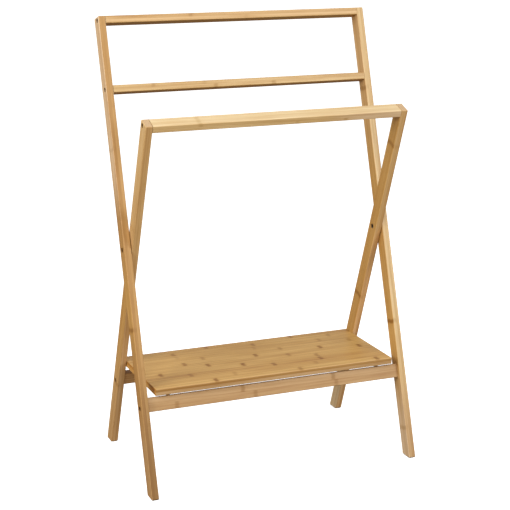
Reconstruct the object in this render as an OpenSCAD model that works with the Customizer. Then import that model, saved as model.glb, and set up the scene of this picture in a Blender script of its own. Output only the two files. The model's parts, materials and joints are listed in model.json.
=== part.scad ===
// Folding towel rack: a tall and a short stick frame cross like an X on two pivot bolts,
// and a shelf board hinged in the short frame drops onto two pegs in the tall one.
// Frame: X along the rails, Y towards the back, Z up, floor at Z = 0, millimetres.

/* [Overall] */
// Width over the outer legs
rack_width = 512; // [300:1:900]
// Height of the pivot bolts above the floor
pivot_height = 411.5; // [300:0.5:550]
// Lean of the tall frame, its top towards the back, degrees
tall_lean = 17.4; // [12:0.1:22]
// Lean of the short frame, its top towards the front, degrees
short_lean = 21.2; // [14:0.1:26]
// Length of the tall legs above the pivot
tall_reach = 408.5; // [300:0.5:600]
// Length of the short legs above the pivot
short_reach = 251.5; // [150:0.5:260]

/* [Sticks] */
// Leg size across the rack
leg_thickness = 13; // [10:0.5:20]
// Leg size from its front face to its back face
leg_depth = 26; // [20:0.5:36]
// Height of the slim rails, which are as deep as the legs
rail_height = 13; // [10:0.5:20]
// Height of the two low crossbars
crossbar_height = 25; // [20:0.5:40]
// Thickness of the two low crossbars
crossbar_thickness = 12; // [10:0.5:16]
// Rounding of the long edges
edge_radius = 1.5; // [0.5:0.1:3]
// Chamfer of the cut ends
end_chamfer = 1; // [0.3:0.1:2]

/* [Rail places] */
// From the top of the tall legs down to the top of the middle rail
middle_rail_drop = 122; // [40:1:140]
// From the shelf hinge down to the top of the rear crossbar, along the short legs
rear_crossbar_drop = 24.5; // [18:0.5:60]

/* [Shelf] */
// Height of the shelf's upper face above the floor
shelf_height = 181.6; // [140:0.1:220]
// Thickness of the shelf board
shelf_thickness = 12; // [8:0.5:16]
// How far the shelf reaches in front of the front crossbar
shelf_overhang = 7; // [2:0.5:30]
// How far the shelf reaches behind its hinge
shelf_tail = 13; // [8:0.5:14]
// Gap between the shelf's ends and the inner legs
shelf_end_gap = 0.6; // [0.5:0.1:3]
// Height of the shelf's underside above the middle of the front crossbar's top
shelf_lift = 5.3; // [4.5:0.1:8]

/* [Hardware] */
// Diameter of the pivot bolts
bolt_d = 6; // [5:0.5:8]
// Diameter of the bolt heads and nuts
bolt_head_d = 8.4; // [8:0.1:12]
// Thickness of the bolt heads and nuts
bolt_head_h = 2.8; // [2:0.1:4]
// Thickness of the pivot washers
washer_h = 0.6; // [0.6:0.1:3]
// Outer diameter of the pivot washers
washer_d = 16; // [12:0.5:22]
// Diameter of the shelf's hinge pins
pin_d = 5; // [4:0.5:6]
// Diameter of the screws
screw_d = 4; // [3:0.5:5]
// Diameter of the screw heads
screw_head_d = 7.4; // [6:0.1:9]
// Height of the screw heads
screw_head_h = 2.2; // [1.5:0.1:3]
// Length of the screws under the head
screw_length = 38; // [25:1:60]
// Depth of the holes that sink the screw and bolt heads
recess_depth = 5; // [4:0.5:6]
// Diameter of the glued dowels
dowel_d = 5; // [4:0.5:6]
// Length of the glued dowels
dowel_length = 26; // [18:1:40]
// Diameter of the pegs that carry the shelf's front
peg_d = 7; // [5:0.5:8]
// Distance from the ends of the front crossbar to its pegs
peg_inset = 40; // [38:1:100]
// Thickness of the foot pads
pad_h = 1.2; // [1:0.1:4]

/* [Fits] */
// Play between a pivot washer and the inner leg beside it
washer_play = 0.15; // [0.1:0.05:1]
// Radial play of a bolt or pin in the bore that turns on it
running_play = 0.05; // [0.02:0.01:0.1]
// Radial play of heads, nuts and pegs in their holes
head_play = 0.3; // [0.2:0.05:0.6]

/* [Hidden] */
$fn = 48;
LEFT = -1;
RIGHT = 1;
far = 2 * (tall_reach + pivot_height);  // longer than any stick
edge_steps = 3;                         // facets in each rounded edge
through = 1;                            // how far a cutting tool runs past a face

// Across the rack: outer legs, then a gap, then the inner legs, then the shelf
outer_leg_x = rack_width / 2 - leg_thickness / 2;
outer_inside_x = rack_width / 2 - leg_thickness;
leg_gap = washer_h + washer_play;
inner_outside_x = outer_inside_x - leg_gap;
inner_leg_x = inner_outside_x - leg_thickness / 2;
inner_inside_x = inner_outside_x - leg_thickness;
shelf_end_x = inner_inside_x - shelf_end_gap;

// Each frame has its own axes at the pivot: Z up along the legs and Y towards their back
// faces. A positive turn about X leans the top towards the front.
tall_turn = -tall_lean;
short_turn = short_lean;
function to_y(y, z, turn) = y * cos(turn) - z * sin(turn);
function foot_z(y, turn) = (pad_h - pivot_height - y * sin(turn)) / cos(turn);
front_reach = -to_y(-leg_depth / 2, foot_z(-leg_depth / 2, tall_turn) + end_chamfer, tall_turn);
back_reach = to_y(leg_depth / 2, foot_z(leg_depth / 2, short_turn) + end_chamfer, short_turn);
pivot_y = (front_reach - back_reach) / 2;   // puts the origin under the middle of the feet

// Along the tall frame: rails measured down from the top, the front crossbar placed so
// that the shelf lies over it
middle_rail_z = tall_reach - middle_rail_drop - rail_height / 2;
top_rail_z = tall_reach - rail_height / 2;
shelf_bottom = shelf_height - shelf_thickness;
front_crossbar_top = -(pivot_height + shelf_lift - shelf_bottom) / cos(tall_turn);
front_crossbar_z = front_crossbar_top - crossbar_height / 2;

// Along the short frame
front_rail_z = short_reach - rail_height / 2;
hinge_z = -(pivot_height - shelf_height + shelf_thickness / 2) / cos(short_turn);
rear_crossbar_top = hinge_z - rear_crossbar_drop;
rear_crossbar_z = rear_crossbar_top - crossbar_height / 2;

// The shelf runs from behind its hinge to just in front of the front crossbar
hinge_y = pivot_y + to_y(0, hinge_z, short_turn);
hinge_height = shelf_height - shelf_thickness / 2;
shelf_back = hinge_y + shelf_tail;
shelf_front = pivot_y + to_y(-crossbar_thickness / 2, front_crossbar_top, tall_turn) - shelf_overhang;

// Fastenings: each rail end has one screw and one dowel side by side
rail_screw_y = 4;                        // screw off the middle of a slim rail
rail_dowel_y = -7;                       // dowel off the middle of a slim rail
crossbar_screw_z = -4.5;                 // screw below the middle of a crossbar
crossbar_dowel_z = 6;                    // dowel above the middle of a crossbar
dowel_seat = 7;                          // depth of a dowel's hole in a leg
socket_depth = 1.4;                      // hexagon socket in the bolt and screw heads
screw_point = 6;                         // length of the screw's point
pin_seat = 8;                            // depth of a hinge pin's hole in a leg
pin_reach = 20;                          // length of a hinge pin inside the shelf
pin_end_play = 1;                        // free length at the end of the pin's bore
nut_recess = bolt_head_h + 1.5;          // hole that sinks a pivot nut
pad_inset = 0.6;                         // pad edge inside the foot's edge

// Shelf pegs: round-ended, square to the crossbar, in blind slots under the shelf
peg_x = outer_inside_x - peg_inset;
peg_seat = 12;                           // depth of a peg's hole in the crossbar
slot_depth = shelf_thickness * 0.46;     // depth of a slot in the shelf's underside
slot_run = 11;                           // slot length behind the peg, free when folding
peg_rest = 0.3;                          // play between a peg's tip and its slot
peg_ball_z = front_crossbar_top
    + (shelf_lift + slot_depth - peg_rest - peg_d / 2) / cos(tall_turn);
peg_y = pivot_y + to_y(0, peg_ball_z, tall_turn);
peg_lean_run = (slot_depth - peg_d / 2) * tan(tall_lean) + peg_d / 2 / cos(tall_turn);

// Places of the screws [y, z] and dowels [y, z] in each frame's own axes
tall_screws = [[-rail_screw_y, top_rail_z], [-rail_screw_y, middle_rail_z],
    [0, front_crossbar_z + crossbar_screw_z]];
tall_dowels = [[-rail_dowel_y, top_rail_z], [-rail_dowel_y, middle_rail_z],
    [0, front_crossbar_z + crossbar_dowel_z]];
short_screws = [[rail_screw_y, front_rail_z], [0, rear_crossbar_z + crossbar_screw_z]];
short_dowels = [[rail_dowel_y, front_rail_z], [0, rear_crossbar_z + crossbar_dowel_z]];

// ---- helpers ----

// Rectangle with rounded corners, as a list of points
function rounded_outline(w, d, r) = [for (q = [0:3], i = [0:edge_steps])
    let (a = 90 * (q + i / edge_steps),
        cx = (q == 0 || q == 3 ? 1 : -1) * (w / 2 - r),
        cy = (q < 2 ? 1 : -1) * (d / 2 - r))
    [cx + r * cos(a), cy + r * sin(a)]];

module tall_axes() {
    translate([0, pivot_y, pivot_height]) rotate([tall_turn, 0, 0]) children();
}

module short_axes() {
    translate([0, pivot_y, pivot_height]) rotate([short_turn, 0, 0]) children();
}

// Builds the right-hand piece and mirrors it for the left
module on_side(side) {
    if (side == RIGHT) children();
    else mirror([1, 0, 0]) children();
}

// Rod or bore along +X from x0 to x1
module x_rod(d, x0, x1, y = 0, z = 0) {
    translate([x0, y, z]) rotate([0, 90, 0]) cylinder(d = d, h = x1 - x0);
}

// Hexagon socket cut along X
module x_hex(across, x0, x1, y = 0, z = 0) {
    translate([x0, y, z]) rotate([0, 90, 0]) cylinder(d = across / cos(30), h = x1 - x0, $fn = 6);
}

// Upright stick: rounded section, chamfered top, foot cut level with the floor
module leg_blank(x, reach, turn) {
    half = leg_depth / 2;
    c = end_chamfer;
    intersection() {
        translate([x, 0, -far / 2]) linear_extrude(far)
            polygon(rounded_outline(leg_thickness, leg_depth, edge_radius));
        translate([x - leg_thickness, 0, 0]) rotate([90, 0, 90]) linear_extrude(2 * leg_thickness)
            polygon([[-half, foot_z(-half, turn) + c], [-half + c, foot_z(-half + c, turn)],
                [half - c, foot_z(half - c, turn)], [half, foot_z(half, turn) + c],
                [half, reach - c], [half - c, reach], [-half + c, reach], [-half, reach - c]]);
        translate([x, half + through, 0]) rotate([90, 0, 0]) linear_extrude(leg_depth + 2 * through)
            polygon([[-leg_thickness / 2, -far / 2], [leg_thickness / 2, -far / 2],
                [leg_thickness / 2, reach - c], [leg_thickness / 2 - c, reach],
                [c - leg_thickness / 2, reach], [-leg_thickness / 2, reach - c]]);
    }
}

// Holes in a right-hand leg: sunk screw holes from the outside, dowel holes from the inside
module joint_holes(inside_x, screws, dowels) {
    outside_x = inside_x + leg_thickness;
    for (p = screws) {
        x_rod(screw_d, inside_x - through, outside_x, p[0], p[1]);
        x_rod(screw_head_d + 2 * head_play, outside_x - recess_depth, outside_x + through, p[0], p[1]);
    }
    for (p = dowels) x_rod(dowel_d, inside_x - through, inside_x + dowel_seat, p[0], p[1]);
}

// Rail or crossbar between two legs, with the screw and dowel holes in both ends
module cross_stick(length, depth, height, z, screws, dowels) {
    end_x = length / 2;
    difference() {
        translate([-end_x, 0, z]) rotate([90, 0, 90]) linear_extrude(length)
            polygon(rounded_outline(depth, height, edge_radius));
        for (side = [LEFT, RIGHT]) on_side(side) {
            for (p = screws)
                x_rod(screw_d, screw_tip_x(end_x), end_x + through, p[0], p[1]);
            for (p = dowels)
                x_rod(dowel_d, end_x + dowel_seat - dowel_length, end_x + through, p[0], p[1]);
        }
    }
}

function screw_tip_x(inside_x) = inside_x + leg_thickness - recess_depth - screw_length;

// One screw from outside a right-hand leg into the end of a rail
module leg_screw(inside_x, p) {
    seat_x = inside_x + leg_thickness - recess_depth;
    tip_x = screw_tip_x(inside_x);
    difference() {
        union() {
            x_rod(screw_d, tip_x + screw_point, seat_x, p[0], p[1]);
            x_rod(screw_head_d, seat_x, seat_x + screw_head_h, p[0], p[1]);
            translate([tip_x + screw_point, p[0], p[1]]) rotate([0, -90, 0])
                cylinder(d1 = screw_d, d2 = screw_d / 4, h = screw_point);
        }
        x_hex(screw_d * 0.75, seat_x + screw_head_h - socket_depth, seat_x + screw_head_h + through,
            p[0], p[1]);
    }
}

module leg_dowel(inside_x, p) {
    x_rod(dowel_d, inside_x + dowel_seat - dowel_length, inside_x + dowel_seat, p[0], p[1]);
}

// Pad under a foot, the shape of the foot's level cut
module foot_pad(side, x, turn) {
    foot_depth = leg_depth / cos(turn);
    middle_y = pivot_y + to_y(0, foot_z(0, turn), turn);
    color("dimgray") on_side(side) translate([x, middle_y, 0]) linear_extrude(pad_h)
        polygon(rounded_outline(leg_thickness - 2 * pad_inset,
            foot_depth - 2 * pad_inset - 2 * end_chamfer, edge_radius));
}

// ---- tall outer frame ----

module outer_leg(side) {
    color("burlywood") on_side(side) tall_axes() difference() {
        leg_blank(outer_leg_x, tall_reach, tall_turn);
        joint_holes(outer_inside_x, tall_screws, tall_dowels);
        x_rod(bolt_d, outer_inside_x - through, rack_width / 2);
        x_rod(bolt_head_d + 2 * head_play, rack_width / 2 - recess_depth, rack_width / 2 + through);
    }
}

module top_rail() {
    color("burlywood") tall_axes()
        cross_stick(2 * outer_inside_x, leg_depth, rail_height, top_rail_z,
            [tall_screws[0]], [tall_dowels[0]]);
}

module middle_rail() {
    color("burlywood") tall_axes()
        cross_stick(2 * outer_inside_x, leg_depth, rail_height, middle_rail_z,
            [tall_screws[1]], [tall_dowels[1]]);
}

module front_crossbar() {
    color("tan") tall_axes() difference() {
        cross_stick(2 * outer_inside_x, crossbar_thickness, crossbar_height, front_crossbar_z,
            [tall_screws[2]], [tall_dowels[2]]);
        for (side = [LEFT, RIGHT]) translate([side * peg_x, 0, front_crossbar_top - peg_seat])
            cylinder(d = peg_d, h = peg_seat + through);
    }
}

module outer_frame_screws() {
    color("silver") tall_axes() for (side = [LEFT, RIGHT], p = tall_screws)
        on_side(side) leg_screw(outer_inside_x, p);
}

module outer_frame_dowels() {
    color("wheat") tall_axes() for (side = [LEFT, RIGHT], p = tall_dowels)
        on_side(side) leg_dowel(outer_inside_x, p);
}

module shelf_pegs() {
    color("saddlebrown") tall_axes() for (side = [LEFT, RIGHT]) translate([side * peg_x, 0, 0]) {
        translate([0, 0, front_crossbar_top - peg_seat])
            cylinder(d = peg_d, h = peg_ball_z - front_crossbar_top + peg_seat);
        translate([0, 0, peg_ball_z]) sphere(d = peg_d);
    }
}

// ---- pivots, carried by the tall frame ----

module pivot_bolt(side) {
    head_x = rack_width / 2 - recess_depth;
    color("silver") on_side(side) tall_axes() difference() {
        union() {
            x_rod(bolt_d, inner_inside_x + nut_recess - head_play - bolt_head_h, head_x);
            x_rod(bolt_head_d, head_x, head_x + bolt_head_h);
        }
        x_hex(bolt_d * 2 / 3, head_x + bolt_head_h - socket_depth, head_x + bolt_head_h + through);
    }
}

module pivot_nut(side) {
    seat_x = inner_inside_x + nut_recess - head_play;
    color("silver") on_side(side) tall_axes() difference() {
        x_rod(bolt_head_d, seat_x - bolt_head_h, seat_x);
        x_rod(bolt_d, seat_x - bolt_head_h - through, seat_x + through);
    }
}

module pivot_washer(side) {
    color("whitesmoke") on_side(side) tall_axes() difference() {
        x_rod(washer_d, outer_inside_x - washer_h, outer_inside_x);
        x_rod(bolt_d, outer_inside_x - washer_h - through, outer_inside_x + through);
    }
}

// ---- short inner frame ----

module inner_leg(side) {
    color("peru") on_side(side) short_axes() difference() {
        leg_blank(inner_leg_x, short_reach, short_turn);
        joint_holes(inner_inside_x, short_screws, short_dowels);
        x_rod(bolt_d + 2 * running_play, inner_inside_x, inner_outside_x + through);
        x_rod(bolt_head_d + 2 * head_play, inner_inside_x - through, inner_inside_x + nut_recess);
        x_rod(pin_d, inner_inside_x - through, inner_inside_x + pin_seat, 0, hinge_z);
    }
}

module front_rail() {
    color("burlywood") short_axes()
        cross_stick(2 * inner_inside_x, leg_depth, rail_height, front_rail_z,
            [short_screws[0]], [short_dowels[0]]);
}

module rear_crossbar() {
    color("tan") short_axes()
        cross_stick(2 * inner_inside_x, crossbar_thickness, crossbar_height, rear_crossbar_z,
            [short_screws[1]], [short_dowels[1]]);
}

module inner_frame_screws() {
    color("silver") short_axes() for (side = [LEFT, RIGHT], p = short_screws)
        on_side(side) leg_screw(inner_inside_x, p);
}

module inner_frame_dowels() {
    color("wheat") short_axes() for (side = [LEFT, RIGHT], p = short_dowels)
        on_side(side) leg_dowel(inner_inside_x, p);
}

module shelf_pin(side) {
    color("silver") on_side(side)
        x_rod(pin_d, shelf_end_x - pin_reach, inner_inside_x + pin_seat, hinge_y, hinge_height);
}

// ---- shelf ----

module shelf_board() {
    depth = shelf_back - shelf_front;
    color("sandybrown") difference() {
        translate([-shelf_end_x, shelf_front + depth / 2, hinge_height]) rotate([90, 0, 90])
            linear_extrude(2 * shelf_end_x)
            polygon(rounded_outline(depth, shelf_thickness, edge_radius));
        for (side = [LEFT, RIGHT]) on_side(side) {
            x_rod(pin_d + 2 * running_play, shelf_end_x - pin_reach - pin_end_play,
                shelf_end_x + through, hinge_y, hinge_height);
            translate([peg_x - peg_d / 2 - head_play, peg_y - peg_lean_run - head_play,
                shelf_bottom - through])
                cube([peg_d + 2 * head_play, peg_lean_run + head_play + slot_run,
                    slot_depth + through]);
        }
    }
}

outer_leg(LEFT);  // outer_leg_left
outer_leg(RIGHT);  // outer_leg_right
top_rail();
middle_rail();
front_crossbar();
outer_frame_screws();
outer_frame_dowels();
shelf_pegs();
foot_pad(LEFT, outer_leg_x, tall_turn);  // foot_pad_front_left
foot_pad(RIGHT, outer_leg_x, tall_turn);  // foot_pad_front_right
pivot_bolt(LEFT);  // pivot_bolt_left
pivot_bolt(RIGHT);  // pivot_bolt_right
pivot_nut(LEFT);  // pivot_nut_left
pivot_nut(RIGHT);  // pivot_nut_right
pivot_washer(LEFT);  // pivot_washer_left
pivot_washer(RIGHT);  // pivot_washer_right
inner_leg(LEFT);  // inner_leg_left
inner_leg(RIGHT);  // inner_leg_right
front_rail();
rear_crossbar();
inner_frame_screws();
inner_frame_dowels();
foot_pad(LEFT, inner_leg_x, short_turn);  // foot_pad_rear_left
foot_pad(RIGHT, inner_leg_x, short_turn);  // foot_pad_rear_right
shelf_pin(LEFT);  // shelf_pin_left
shelf_pin(RIGHT);  // shelf_pin_right
shelf_board();
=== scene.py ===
"""Looks of the folding towel rack: bamboo sticks, a laminated shelf board, wood pegs and steel
hardware, on a plain pale floor in soft studio light. Metres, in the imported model's frame."""

import json
import math
from collections import namedtuple

import bpy
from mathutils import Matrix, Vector


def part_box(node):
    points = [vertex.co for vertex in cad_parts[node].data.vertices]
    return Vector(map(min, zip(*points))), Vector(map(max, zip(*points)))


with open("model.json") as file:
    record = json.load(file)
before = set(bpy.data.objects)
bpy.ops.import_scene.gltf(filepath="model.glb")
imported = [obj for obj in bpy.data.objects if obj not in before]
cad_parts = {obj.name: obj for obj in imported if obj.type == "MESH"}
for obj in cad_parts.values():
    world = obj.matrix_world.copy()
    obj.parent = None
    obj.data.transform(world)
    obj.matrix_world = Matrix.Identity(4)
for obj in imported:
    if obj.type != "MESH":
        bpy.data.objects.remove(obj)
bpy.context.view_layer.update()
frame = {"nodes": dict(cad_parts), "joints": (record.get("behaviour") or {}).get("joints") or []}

MM = 0.001

# ---- the frame's own directions ----


def centre(node):
    """Middle of a CAD node's box."""
    low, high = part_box(node)
    return (low + high) / 2


def joint_place(name):
    """Where a joint's axis is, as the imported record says."""
    return Vector(next(j for j in frame["joints"] if j["name"] == name)["pos_m"])


def lean_between(lower, upper):
    """Turn about X, in radians, of the frame that holds two cross pieces. A lean to the back is below 0."""
    run = centre(upper) - centre(lower)
    return math.atan2(-run.y, run.z)


PIVOT = joint_place("frame_fold")
TALL_TURN = lean_between("middle_rail", "top_rail")
SHORT_TURN = lean_between("rear_crossbar", "front_rail")


# ---- node trees ----


class Graph:
    """Adds nodes to a tree. What a call returns is the new node's output, ready to be wired on."""

    def __init__(self, tree):
        self.tree = tree

    def add(self, kind, inputs, output=0, **settings):
        node = self.tree.nodes.new(kind)
        for key, value in settings.items():
            setattr(node, key, value)
        for key, value in inputs.items():
            self.put(node.inputs[key], value)
        return node.outputs[output]

    def put(self, socket, value):
        if isinstance(value, bpy.types.NodeSocket):
            self.tree.links.new(value, socket)
        else:
            socket.default_value = value

    def math(self, operation, a, b=0.0, c=0.0, clamp=False):
        return self.add("ShaderNodeMath", {0: a, 1: b, 2: c}, operation=operation, use_clamp=clamp)

    def mul(self, a, b):
        return self.math("MULTIPLY", a, b)

    def plus(self, a, b):
        return self.math("ADD", a, b)

    def split(self, vector):
        node = self.tree.nodes.new("ShaderNodeSeparateXYZ")
        self.put(node.inputs[0], vector)
        return list(node.outputs)

    def join(self, x, y, z):
        return self.add("ShaderNodeCombineXYZ", {0: x, 1: y, 2: z})

    def noise(self, vector, scale=1.0, detail=2.0, roughness=0.5):
        return self.add("ShaderNodeTexNoise", {"Vector": vector, "Scale": scale, "Detail": detail,
                        "Roughness": roughness}, noise_dimensions="3D")

    def stretched_noise(self, place, per_metre, shift=0.0, detail=2.0, roughness=0.5):
        """Noise with its own number of changes per metre in each direction, drawn shift further on."""
        first, second, third = (self.mul(part, rate) for part, rate in zip(place, per_metre))
        return self.noise(self.join(self.plus(first, shift), second, third), detail=detail,
                          roughness=roughness)

    def random(self, number):
        """The same random number from 0 to 1 for the same input."""
        return self.add("ShaderNodeTexWhiteNoise", {"W": number}, output="Value", noise_dimensions="1D")

    def object_place(self):
        return self.tree.nodes.new("ShaderNodeTexCoord").outputs["Object"]

    def mix(self, factor, a, b, blend="MIX"):
        node = self.tree.nodes.new("ShaderNodeMix")
        node.data_type = "RGBA"
        node.blend_type = blend
        self.put(node.inputs[0], factor)
        self.put(node.inputs[6], a)
        self.put(node.inputs[7], b)
        return node.outputs[2]

    def step(self, value, low, high, start=0.0, end=1.0):
        """Smooth rise from start to end as value goes from low to high."""
        return self.add("ShaderNodeMapRange", {"Value": value, "From Min": low, "From Max": high,
                        "To Min": start, "To Max": end}, interpolation_type="SMOOTHSTEP")

    def ramp(self, factor, stops, interpolation="LINEAR"):
        node = self.tree.nodes.new("ShaderNodeValToRGB")
        band = node.color_ramp
        band.interpolation = interpolation
        while len(band.elements) < len(stops):
            band.elements.new(1.0)
        for element, (place, colour) in zip(band.elements, stops):
            element.position = place
            element.color = colour
        self.put(node.inputs[0], factor)
        return node.outputs[0]

    def bump(self, shader, height, strength, depth):
        """Gives the shader a relief. depth is in millimetres, for a height of 1."""
        relief = self.add("ShaderNodeBump", {"Strength": strength, "Distance": depth * MM, "Height": height})
        self.put(shader.inputs["Normal"], relief)


def srgb(r, g, b):
    """Linear colour of an 8-bit screen colour."""
    def linear(v):
        v /= 255
        return v / 12.92 if v <= 0.04045 else ((v + 0.055) / 1.055) ** 2.4
    return (linear(r), linear(g), linear(b), 1.0)


def new_material(name):
    """Empty material with its node tree, its shader and a graph to build with."""
    material = bpy.data.materials.new(name)
    material.use_nodes = True
    tree = material.node_tree
    tree.nodes.clear()
    shader = tree.nodes.new("ShaderNodeBsdfPrincipled")
    out = tree.nodes.new("ShaderNodeOutputMaterial")
    tree.links.new(shader.outputs[0], out.inputs[0])
    return material, shader, Graph(tree)


# ---- bamboo ----

LIGHT_CANE = srgb(228, 192, 140)
MID_CANE = srgb(208, 168, 112)
WARM_CANE = srgb(180, 130, 74)
FIBRE_DOT = srgb(112, 74, 36)

# the woods that the sticks are made of, from the darkest to the palest, and last a pale colour that is
# painted light, not wood
DARK_WOOD = srgb(145, 105, 55)
BROWN_WOOD = srgb(180, 135, 75)
DULL_WOOD = srgb(185, 145, 95)
AMBER_WOOD = srgb(195, 150, 80)
TAN_WOOD = srgb(200, 160, 105)
STRAW_WOOD = srgb(205, 170, 115)
HONEY_WOOD = srgb(215, 170, 115)
PALE_WOOD = srgb(215, 185, 145)
PAINTED_LIGHT_WOOD = srgb(245, 215, 165)

# what the wood's colour is multiplied by
CANE_NODE_TINT = (0.52, 0.37, 0.12, 1.0)
HALO_TINT = (0.86, 0.76, 0.52, 1.0)
# painted shade in the legs' sunk holes
HOLE_SHADE_TINT = (0.22, 0.16, 0.10, 1.0)
# painted sheen on the front rail's top face
PAINTED_SHEEN_TINT = (1.38, 1.62, 2.1, 1.0)
UPPER_PLY_TINT = (0.80, 0.69, 0.46, 1.0)

# in millimetres
GLUE_LINE = 0.35             # from its middle to where it has faded out
NODE_LINE = (1.2, 6.0)       # from a cane node's middle to where its line starts and ends to fade
NODE_HALO = (3.0, 14.0)      # the same for the halo round it
NODE_BOW = 7.0               # how far a cane node wanders along its stick
STREAK_WANDER = 2.4          # how far a streak wanders across it
SPARE_NODES = 100            # how far before a stick's span its unused cane nodes are put
HOLES_WITHIN = 11            # the walls of a leg's holes lie within this of its middle
UPPER_PLY = 5.3              # how thick the shelf's upper ply is

HALO_STRENGTH = 0.35
MOST_MARKS = 3               # cane nodes on one lamella
SECOND_DRAW = 31.7           # added to a lamella's seed for its second random number

# order names a stick's axes: along it, through its lamellas, across a lamella's face.
# lamella is how thick each one is, in millimetres.
# span is the stretch along the stick, in millimetres, that its cane nodes lie in.
# marks_on is the axis that faces out where the cane nodes show at their strongest.
# soft is how far, in millimetres, a node fades out before the lamella's edge.
# grain is how strong the streaks are, and cut_end is what a cut end's colour is multiplied by.
Stick = namedtuple("Stick", "order lamella span marks_on soft grain cut_end")
LEG = Stick(order="zxy", lamella=6.5, span=(-430, 400), marks_on="through", soft=0, grain=1.0,
            cut_end=(1.12, 1.24, 1.68, 1.0))
RAIL = Stick(order="xzy", lamella=6.5, span=(-245, 245), marks_on="any", soft=0, grain=1.0,
             cut_end=(0.55, 0.48, 0.40, 1.0))
CROSSBAR = RAIL._replace(lamella=12.5)
SHELF = Stick(order="xyz", lamella=20, span=(-230, 230), marks_on="across", soft=3.5, grain=1.1,
              cut_end=(1.08, 0.98, 0.90, 1.0))


def stick_axes(g, turn, order):
    """Object coordinates, and the surface direction, in a stick's own axes."""
    coords = g.tree.nodes.new("ShaderNodeTexCoord")
    result = []
    for source, origin in (("Object", PIVOT), ("Normal", Vector((0, 0, 0)))):
        moved = g.add("ShaderNodeVectorMath", {0: coords.outputs[source], 1: origin}, operation="SUBTRACT")
        turned = g.add("ShaderNodeVectorRotate", {"Vector": moved, "Angle": -turn}, rotation_type="X_AXIS")
        axes = dict(zip("xyz", g.split(turned)))
        result.append([axes[name] for name in order])
    return result


def wander(g, place, index, seed):
    """The place, moved a little across the stick, so that no streak is dead straight."""
    along, through, across = place
    slow = g.noise(g.join(g.mul(along, 9.0), g.plus(g.mul(index, 3.1), seed), 0.0), detail=1.0)
    drift = g.mul(g.math("SUBTRACT", slow, 0.5), STREAK_WANDER * MM)
    return along, g.plus(through, drift), g.plus(across, drift)


def cane_grain(g, place, wandered, index, seed, strength):
    """Bamboo's plain colour, its fibres and its pores. Each lamella has two random numbers of its own."""
    own = g.random(g.plus(index, seed))
    other = g.random(g.plus(index, seed + SECOND_DRAW))

    # tone patches and streaks, fibres under a millimetre, and fine pores
    patch = g.stretched_noise(place, (11.0, 28.0, 28.0), g.mul(other, 90.0), detail=1.0)
    broad = g.stretched_noise(wandered, (5.0, 240.0, 190.0), g.mul(own, 40.0), roughness=0.55)
    fibre = g.stretched_noise(wandered, (14.0, 1300.0, 1150.0), g.mul(other, 70.0), detail=3.0,
                              roughness=0.6)
    pore = g.stretched_noise(wandered, (150.0, 4200.0, 4200.0), detail=1.0)

    shade = 0.42
    for layer, amount in ((broad, 1.35), (fibre, 0.75), (own, 0.30), (patch, 0.45)):
        shade = g.plus(shade, g.mul(g.math("SUBTRACT", layer, 0.5), amount * strength))
    colour = g.ramp(shade, [(0.0, LIGHT_CANE), (0.45, MID_CANE), (1.0, WARM_CANE)])
    return g.mix(g.step(pore, 0.62, 0.8, 0.0, 0.28), colour, WARM_CANE), fibre, pore


def bowed(g, wandered, seed):
    """The place along the stick, bowed a little across each lamella."""
    along, through, across = wandered
    bow = g.noise(g.join(g.mul(across, 90.0), g.mul(through, 120.0), seed), detail=1.0)
    return g.plus(along, g.mul(g.math("SUBTRACT", bow, 0.5), NODE_BOW * MM))


def node_strength(g, stick, facing, near_glue):
    """How strong cane nodes are here, by the way that the surface faces and the lamella's edges."""
    strength = g.step(near_glue, 0.5 * MM, stick.soft * MM) if stick.soft else 1.0
    outward = dict(zip(("along", "through", "across"), facing))
    if stick.marks_on in outward:
        faces_out = g.math("ABSOLUTE", outward[stick.marks_on])
        strength = g.mul(strength, g.step(faces_out, 0.4, 0.8, 0.3, 1.0))
    return strength


def cane_nodes(g, colour, along, index, canes, span, strength_here):
    """Darkens the colour at each lamella's cane nodes. Returns it with the nodes' ridge height."""
    low, high = span[0] - SPARE_NODES, span[1]
    rows = [list(cane) + [(low, 0.0)] * (MOST_MARKS - len(cane)) for cane in canes]
    which = g.math("DIVIDE", g.plus(index, 0.5), float(len(rows)))

    def lookup(value):
        stops = [(i / len(rows), (*map(value, row), 1.0)) for i, row in enumerate(rows)]
        return g.split(g.ramp(which, stops, "CONSTANT"))

    places = lookup(lambda mark: (mark[0] - low) / (high - low))
    strengths = lookup(lambda mark: mark[1])
    ridge = 0.0
    for place, strength in zip(places, strengths):
        at = g.math("MULTIPLY_ADD", place, (high - low) * MM, low * MM)
        off = g.math("ABSOLUTE", g.math("SUBTRACT", along, at))
        here = g.mul(strength, strength_here)
        line, halo = (g.mul(g.step(off, start * MM, end * MM, 1.0, 0.0), here)
                      for start, end in (NODE_LINE, NODE_HALO))
        colour = g.mix(g.mul(halo, HALO_STRENGTH), colour, HALO_TINT, "MULTIPLY")
        colour = g.mix(line, colour, CANE_NODE_TINT, "MULTIPLY")
        ridge = g.plus(ridge, line)
    return colour, ridge


def cut_end(g, stick, place):
    """A stick's cut end, which shows the fibre bundles as dots."""
    through, across = place[1:]
    in_millimetres = g.join(g.math("DIVIDE", through, MM), g.math("DIVIDE", across, MM), 0.0)
    dots = g.add("ShaderNodeTexVoronoi", {"Vector": in_millimetres, "Scale": 1.0})
    dotted = g.mix(g.step(dots, 0.15, 0.5, 0.35, 0.0), MID_CANE, FIBRE_DOT)
    return g.mix(1.0, dotted, stick.cut_end, "MULTIPLY")


def even(wood):
    """One wood all along a stick."""
    return [(-200, wood), (200, wood)]


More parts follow.
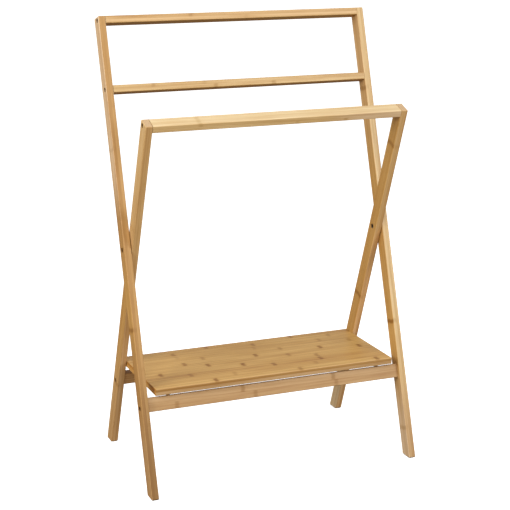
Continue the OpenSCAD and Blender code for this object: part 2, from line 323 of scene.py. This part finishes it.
def wood_along(g, along, stops):
    """What MID_CANE is multiplied by to give the wood's own colour at each place along a stick, with painted
    light over the shelf's shadow on a few sticks.
    stops are (place in millimetres, wood)."""
    low, high = stops[0][0], stops[-1][0]
    factor = g.math("DIVIDE", g.math("SUBTRACT", along, low * MM), (high - low) * MM, clamp=True)
    tints = []
    for place, wood in stops:
        tint = [part / plain for part, plain in zip(wood[:3], MID_CANE)]
        tints.append(((place - low) / (high - low), (*tint, 1.0)))
    return g.ramp(factor, tints, "EASE")


def bamboo(name, stick, turn, start, canes, seed, edges, faces, extra=None):
    """Bamboo glued up from lamellas, which count from start, in millimetres.
    canes gives each lamella's cane nodes: (place along the stick in millimetres, strength).
    edges is the wood along the sides that show the glue lines, and faces is the wood along the outer
    lamellas' own faces, as wood_along takes them. extra adds what one piece has to itself."""
    material, shader, g = new_material(name)
    place, facing = stick_axes(g, turn, stick.order)
    end_on, face_on = (g.math("ABSOLUTE", part) for part in facing[:2])

    from_start = g.math("SUBTRACT", place[1], start * MM)
    number = g.math("FLOOR", g.math("DIVIDE", from_start, stick.lamella * MM))
    index = g.math("MINIMUM", g.math("MAXIMUM", number, 0.0), len(canes) - 1.0)
    near_glue = g.math("PINGPONG", from_start, stick.lamella * MM / 2)

    wandered = wander(g, place, index, seed)
    colour, fibre, pore = cane_grain(g, place, wandered, index, seed, stick.grain)
    colour = g.mix(g.step(near_glue, 0.0, GLUE_LINE * MM, 0.35, 0.0), colour, WARM_CANE)
    colour, ridge = cane_nodes(g, colour, bowed(g, wandered, seed), index, canes, stick.span,
                               node_strength(g, stick, facing, near_glue))
    end = g.step(end_on, 0.75, 0.92)
    colour = g.mix(end, colour, cut_end(g, stick, place))
    if extra:
        colour = extra(g, colour, place, facing)
    wood = g.mix(g.step(face_on, 0.4, 0.8), wood_along(g, place[0], edges), wood_along(g, place[0], faces))
    g.put(shader.inputs["Base Color"], g.mix(1.0, colour, wood, "MULTIPLY"))

    rough = g.plus(g.mul(fibre, 0.22), 0.36)
    g.put(shader.inputs["Roughness"], g.plus(rough, g.mul(end, 0.15)))
    shader.inputs["Specular IOR Level"].default_value = 0.45

    height = g.plus(g.mul(fibre, 0.6), g.mul(pore, 0.25))
    height = g.plus(height, g.mul(ridge, 0.5))
    g.bump(shader, height, strength=0.35, depth=0.25)
    return material


def shaded_sunk_holes(top):
    """Paints shade on the walls of a leg's sunk holes. top is the leg's end, in millimetres along it."""
    foot = LEG.span[0]

    def darken(g, colour, place, facing):
        along, _, across = place
        inside = g.step(g.math("ABSOLUTE", across), (HOLES_WITHIN + 0.5) * MM, (HOLES_WITHIN - 0.5) * MM)
        below_end = g.step(along, (top - 1.0) * MM, (top - 2.5) * MM)
        above_foot = g.step(along, (foot + 20) * MM, (foot + 30) * MM)
        across_leg = g.step(g.math("ABSOLUTE", facing[1]), 0.5, 0.3)
        wall = g.mul(g.mul(inside, below_end), g.mul(above_foot, across_leg))
        return g.mix(wall, colour, HOLE_SHADE_TINT, "MULTIPLY")
    return darken


def painted_top_sheen(g, colour, place, facing):
    """Painted sheen: the front rail's upward-facing faces are made paler and whiter, standing in for the
    light on its top.
    """
    return g.mix(g.step(facing[1], 0.5, 0.9), colour, PAINTED_SHEEN_TINT, "MULTIPLY")


def two_plies(g, colour, place, facing):
    """On the shelf's edges the upper ply is browner than the lower one."""
    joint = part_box("shelf_board")[1].z - PIVOT.z - UPPER_PLY * MM
    upper = g.step(place[2], joint - 0.3 * MM, joint + 0.3 * MM)
    on_edge = g.step(g.math("ABSOLUTE", facing[2]), 0.7, 0.4)
    return g.mix(g.mul(upper, on_edge), colour, UPPER_PLY_TINT, "MULTIPLY")


# ---- hardware ----


def turned_wood(name):
    """Pale beech, with the grain along the rack."""
    material, shader, g = new_material(name)
    place = g.split(g.object_place())
    fibre = g.stretched_noise(place, (60.0, 1400.0, 1400.0), detail=3.0, roughness=0.6)
    fleck = g.stretched_noise(place, (300.0, 2500.0, 2500.0), detail=1.0)
    colour = g.ramp(fibre, [(0.3, srgb(196, 156, 108)), (0.7, srgb(226, 192, 146))])
    colour = g.mix(g.step(fleck, 0.6, 0.75, 0.0, 0.5), colour, srgb(160, 116, 72))
    g.put(shader.inputs["Base Color"], colour)
    shader.inputs["Roughness"].default_value = 0.55
    g.bump(shader, fibre, strength=0.3, depth=0.15)
    return material


def metal(name, dark, light, rough):
    """Plated steel with a faint mottle and turning marks round the rack's long direction."""
    material, shader, g = new_material(name)
    place = g.object_place()
    mottle = g.noise(place, scale=900.0, detail=3.0, roughness=0.6)
    turning = g.stretched_noise(g.split(place), (9000.0, 300.0, 300.0), detail=1.0)
    g.put(shader.inputs["Base Color"], g.ramp(mottle, [(0.35, dark), (0.7, light)]))
    shader.inputs["Metallic"].default_value = 1.0
    g.put(shader.inputs["Roughness"], g.plus(g.mul(g.math("SUBTRACT", turning, 0.5), 0.25), rough))
    g.bump(shader, turning, strength=0.2, depth=0.05)
    return material


def nylon(name):
    """Milky washer plastic."""
    material, shader, g = new_material(name)
    grain = g.noise(g.object_place(), scale=1500.0)
    colour = g.ramp(grain, [(0.3, srgb(196, 190, 176)), (0.7, srgb(216, 211, 198))])
    g.put(shader.inputs["Base Color"], colour)
    shader.inputs["Roughness"].default_value = 0.45
    shader.inputs["Subsurface Weight"].default_value = 0.15
    g.bump(shader, grain, strength=0.15, depth=0.05)
    return material


def rubber(name):
    """Dark brown matt rubber, with the fine pebble of its mould."""
    material, shader, g = new_material(name)
    pebble = g.noise(g.object_place(), scale=1800.0, detail=3.0, roughness=0.6)
    g.put(shader.inputs["Base Color"], g.ramp(pebble, [(0.3, srgb(54, 44, 37)), (0.7, srgb(76, 63, 54))]))
    shader.inputs["Roughness"].default_value = 0.85
    shader.inputs["Specular IOR Level"].default_value = 0.3
    g.bump(shader, pebble, strength=0.3, depth=0.1)
    return material


def dress(node, material):
    """Gives a CAD node one material."""
    piece = frame["nodes"][node]
    piece.data.materials.clear()
    piece.data.materials.append(material)
    for face in piece.data.polygons:
        face.material_index = 0


# ---- camera ----

CAMERA_AT = (-948.2 * MM, -2300.7 * MM, 1011.4 * MM)
CAMERA_PITCH = 14.36      # degrees below the horizon
CAMERA_YAW = 22.39        # degrees from +Y towards +X
CAMERA_LENS = 99.77       # millimetres
CAMERA_SENSOR = 36        # millimetres


def add_camera():
    data = bpy.data.cameras.new("camera")
    data.lens = CAMERA_LENS
    data.sensor_width = CAMERA_SENSOR
    camera = bpy.data.objects.new("camera", data)
    camera.location = CAMERA_AT
    camera.rotation_euler = (math.radians(90 - CAMERA_PITCH), 0, math.radians(-CAMERA_YAW))
    bpy.context.scene.collection.objects.link(camera)
    bpy.context.scene.camera = camera


# ---- studio ----

FLOOR_GLOW = 0.75                       # lifts the floor to white
FROM_ABOVE = (0.54, 0.54, 0.54, 1.0)    # the soft light's colour and strength from the upper half
FROM_BELOW = (0.25, 0.20, 0.13, 1.0)    # and from the lower half, weaker and warmer


def add_floor():
    """Pale floor. It catches shadows and is seen, but throws no light back up under the rack."""
    bpy.ops.mesh.primitive_plane_add(size=60)
    floor = bpy.context.object
    floor.name = "floor"
    material, shader, g = new_material("floor")
    shader.inputs["Base Color"].default_value = (0.9, 0.9, 0.9, 1)
    shader.inputs["Roughness"].default_value = 0.9
    shader.inputs["Specular IOR Level"].default_value = 0.0
    shader.inputs["Emission Color"].default_value = (1, 1, 1, 1)
    shader.inputs["Emission Strength"].default_value = FLOOR_GLOW
    floor.data.materials.append(material)
    floor.visible_diffuse = False
    floor.visible_glossy = False


def area_light(name, place, target, size, watts):
    data = bpy.data.lights.new(name, "AREA")
    data.shape = "RECTANGLE"
    data.size, data.size_y = size
    data.energy = watts
    light = bpy.data.objects.new(name, data)
    light.location = place
    light.rotation_euler = (Vector(target) - Vector(place)).to_track_quat("-Z", "Y").to_euler()
    bpy.context.scene.collection.objects.link(light)


def add_world():
    """Soft light from all round, white where the camera sees it."""
    world = bpy.data.worlds.new("studio")
    bpy.context.scene.world = world
    world.use_nodes = True
    tree = world.node_tree
    tree.nodes.clear()
    g = Graph(tree)
    direction = g.split(tree.nodes.new("ShaderNodeTexCoord").outputs["Generated"])
    light = g.mix(g.step(direction[2], -0.25, 0.25), FROM_BELOW, FROM_ABOVE)
    seen = tree.nodes.new("ShaderNodeLightPath").outputs["Is Camera Ray"]
    background = tree.nodes.new("ShaderNodeBackground")
    g.put(background.inputs["Color"], g.mix(seen, light, (1.0, 1.0, 1.0, 1.0)))
    out = tree.nodes.new("ShaderNodeOutputWorld")
    tree.links.new(background.outputs[0], out.inputs[0])


add_camera()
add_floor()
add_world()
area_light("key", place=(-1.2, -2.4, 2.0), target=(0, 0, 0.45), size=(1.4, 1.4), watts=28)
area_light("left", place=(-1.9, -0.5, 1.2), target=(0, 0, 0.5), size=(1.0, 1.2), watts=25)
area_light("right", place=(1.5, -2.2, 1.5), target=(0, 0, 0.45), size=(1.2, 1.2), watts=29)
bpy.context.scene.view_settings.view_transform = "Standard"

# ---- pieces ----

# each stick's own seed for its streaks
LEG_SEED = 0
CROSS_PIECE_SEED = 20
SHELF_SEED = 41
SEED_STEP = 4


def low_edge(node, axis):
    """Lowest place of a CAD node along one axis, in millimetres."""
    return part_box(node)[0][axis] / MM


def frame_height(node, turn):
    """Middle of a cross piece's height, in millimetres along its frame from the pivot."""
    run = centre(node) - PIVOT
    return (run.z * math.cos(turn) - run.y * math.sin(turn)) / MM


# Places along a stick are in millimetres from the pivot, or from the rack's middle.
# Each leg: node, turn, cane nodes of its lamellas from the left one to the right one, wood of its
# front and back, wood of its sides.
LEGS = [
    ("outer_leg_left", TALL_TURN,
     [[(-140, 0.7), (55, 0.15), (175, 0.2)], [(-305, 0.5), (-210, 0.4), (250, 0.4)]],
     [(-400, DARK_WOOD), (-120, BROWN_WOOD)],
     [(-400, DULL_WOOD), (-230, BROWN_WOOD), (-100, AMBER_WOOD), (30, BROWN_WOOD), (150, PALE_WOOD)]),
    ("outer_leg_right", TALL_TURN,
     [[(-378, 0.35), (-180, 0.9), (258, 0.6)], [(-60, 0.2), (330, 0.2)]],
     [(-400, DULL_WOOD), (-250, STRAW_WOOD)],
     [(-400, PALE_WOOD), (-230, AMBER_WOOD), (50, AMBER_WOOD), (300, TAN_WOOD)]),
    ("inner_leg_left", SHORT_TURN,
     [[(-297, 0.45), (45, 0.2)], [(-120, 0.4), (140, 0.3)]],
     [(-400, HONEY_WOOD), (-120, DULL_WOOD), (-60, TAN_WOOD)],
     [(-400, TAN_WOOD), (-110, AMBER_WOOD), (-60, BROWN_WOOD), (40, STRAW_WOOD)]),
    ("inner_leg_right", SHORT_TURN,
     [[(-155, 0.7), (178, 0.6)], [(-330, 0.4), (-150, 0.5), (178, 0.4)]],
     [(-100, HONEY_WOOD), (40, TAN_WOOD)],
     # its sides are paler towards the foot: painted light over the shelf's shadow there
     [(-350, PAINTED_LIGHT_WOOD), (-300, AMBER_WOOD)]),
]
for number, (node, turn, canes, edges, faces) in enumerate(LEGS):
    rail = "top_rail" if node.startswith("outer") else "front_rail"
    top = frame_height(rail, turn) + RAIL.lamella
    seed = LEG_SEED + SEED_STEP * number
    # the walls of each leg's sunk holes get painted shade
    dress(node, bamboo(node, LEG, turn, low_edge(node, 0), canes, seed, edges, faces, shaded_sunk_holes(top)))

# Each cross piece: node, turn, kind, cane nodes of its lamellas from the lower one to the upper one,
# wood of its front and back, wood of its top and underside.
CROSS_PIECES = [
    ("top_rail", TALL_TURN, RAIL,
     [[(20, 0.12)], [(-86, 0.35)]],
     even(TAN_WOOD), [(-180, BROWN_WOOD), (180, AMBER_WOOD)]),
    ("middle_rail", TALL_TURN, RAIL,
     [[(-52, 0.45), (60, 0.45)], [(-170, 0.3), (-75, 0.2)]],
     even(STRAW_WOOD), [(-180, BROWN_WOOD), (0, AMBER_WOOD), (180, BROWN_WOOD)]),
    ("front_rail", SHORT_TURN, RAIL,
     [[(30, 0.25), (122, 0.35)], [(-147, 0.25)]],
     [(60, STRAW_WOOD), (180, PALE_WOOD)], even(STRAW_WOOD)),
    ("front_crossbar", TALL_TURN, CROSSBAR,
     [[(-190, 0.4), (-42, 0.4), (117, 0.4)], [(-65, 0.5), (112, 0.5)]],
     even(DULL_WOOD), even(DULL_WOOD)),
    # the rear crossbar's front and back are paler: painted light over the shelf's shadow on it
    ("rear_crossbar", SHORT_TURN, CROSSBAR,
     [[(-150, 0.4), (20, 0.4), (180, 0.4)], [(-80, 0.5), (95, 0.5)]],
     [(-180, HONEY_WOOD), (180, STRAW_WOOD)], even(DULL_WOOD)),
]
for number, (node, turn, stick, canes, edges, faces) in enumerate(CROSS_PIECES):
    start = frame_height(node, turn) - stick.lamella
    # the front rail gets a painted sheen on its top face
    extra = painted_top_sheen if node == "front_rail" else None
    seed = CROSS_PIECE_SEED + SEED_STEP * number
    dress(node, bamboo(node, stick, turn, start, canes, seed, edges, faces, extra))

# the shelf's ten strips, from front to back
SHELF_CANES = [
    [(-115, 1.0), (48, 0.6), (201, 0.9)],
    [(-71, 0.35), (88, 0.3)],
    [(-147, 0.5), (14, 0.8), (107, 0.8)],
    [(-197, 0.9), (-39, 1.0), (108, 0.6)],
    [(-99, 0.9), (60, 0.5), (206, 0.9)],
    [(-138, 0.8), (2, 0.9), (133, 0.9)],
    [(-95, 0.45), (60, 0.45), (204, 0.4)],
    [(-139, 0.25), (15, 0.3), (149, 0.4)],
    [(-139, 0.6), (21, 0.6), (179, 0.4)],
    [(-67, 0.9), (107, 0.8)],
]
FIRST_STRIP_HIDDEN = 1.4     # millimetres of the first strip planed away
shelf_start = low_edge("shelf_board", 1) - PIVOT.y / MM - FIRST_STRIP_HIDDEN
dress("shelf_board", bamboo("shelf_board", SHELF, 0.0, shelf_start, SHELF_CANES, SHELF_SEED,
                            even(AMBER_WOOD), even(DULL_WOOD), two_plies))

for node in ("outer_frame_dowels", "inner_frame_dowels", "shelf_pegs"):
    dress(node, turned_wood(node))
DARK_STEEL = (srgb(52, 46, 42), srgb(78, 70, 62), 0.5)
BRIGHT_STEEL = (srgb(150, 148, 144), srgb(196, 194, 190), 0.32)
for node, finish in (("outer_frame_screws", DARK_STEEL), ("inner_frame_screws", DARK_STEEL),
                     ("pivot_bolt_left", DARK_STEEL), ("pivot_bolt_right", DARK_STEEL),
                     ("pivot_nut_left", BRIGHT_STEEL), ("pivot_nut_right", BRIGHT_STEEL),
                     ("shelf_pin_left", BRIGHT_STEEL), ("shelf_pin_right", BRIGHT_STEEL)):
    dress(node, metal(node, *finish))
for side in ("left", "right"):
    dress("pivot_washer_" + side, nylon("pivot_washer_" + side))
    for end in ("front", "rear"):
        dress(f"foot_pad_{end}_{side}", rubber(f"foot_pad_{end}_{side}"))
